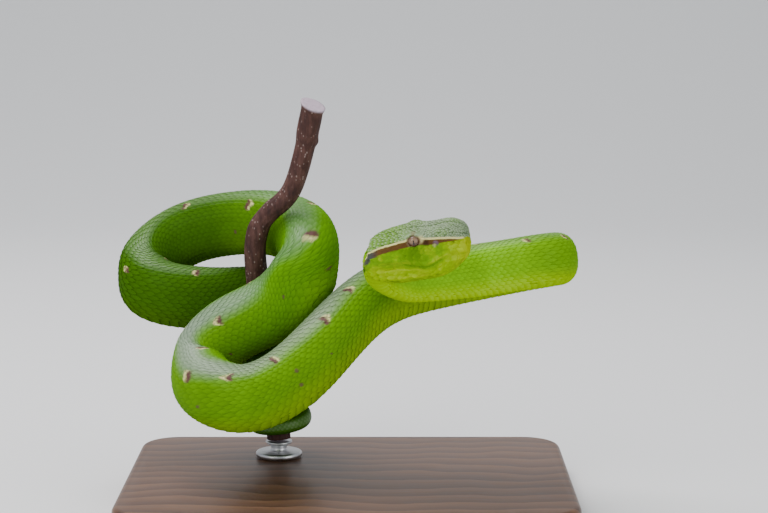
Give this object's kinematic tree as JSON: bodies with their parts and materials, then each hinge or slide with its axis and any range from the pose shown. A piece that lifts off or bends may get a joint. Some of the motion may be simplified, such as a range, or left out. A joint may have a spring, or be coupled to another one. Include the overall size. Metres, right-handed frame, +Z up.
{
  "type": "coiled temple pit viper on a perch",
  "caption": "Bright green arboreal pit viper coiled round a cut twig with its head resting along the coils, held by a rod on a flat wooden display base.",
  "frame": {"origin": "middle of the base's underside, on the surface it stands on", "axes": "+Z up, -Y the front that the head's near side faces, +X towards the snout"},
  "size_m": [0.1173, 0.084, 0.1016],
  "materials": {
    "head": "fine keeled scales, satin",
    "neck": "overlapping keeled scales, satin",
    "trunk_1": "overlapping keeled scales, satin",
    "trunk_2": "overlapping keeled scales, satin",
    "trunk_3": "overlapping keeled scales, satin",
    "trunk_4": "overlapping keeled scales, satin",
    "trunk_5": "overlapping keeled scales, satin",
    "trunk_6": "overlapping keeled scales, satin",
    "tail": "overlapping keeled scales, satin",
    "eye_near": "wet gloss",
    "eye_far": "wet gloss",
    "perch_twig": "flecked bark, pale cut ends",
    "stand_base": "dark oiled wood",
    "stand_rod": "fine turned steel"
  },
  "bodies": {
    "root": {"head": "head", "neck": "neck", "trunk_1": "trunk_1", "trunk_2": "trunk_2", "trunk_3": "trunk_3", "trunk_4": "trunk_4", "trunk_5": "trunk_5", "trunk_6": "trunk_6", "tail": "tail", "eye_near": "eye_near", "eye_far": "eye_far", "perch_twig": "perch_twig", "stand_base": "stand_base", "stand_rod": "stand_rod"}
  },
  "joints": []
}
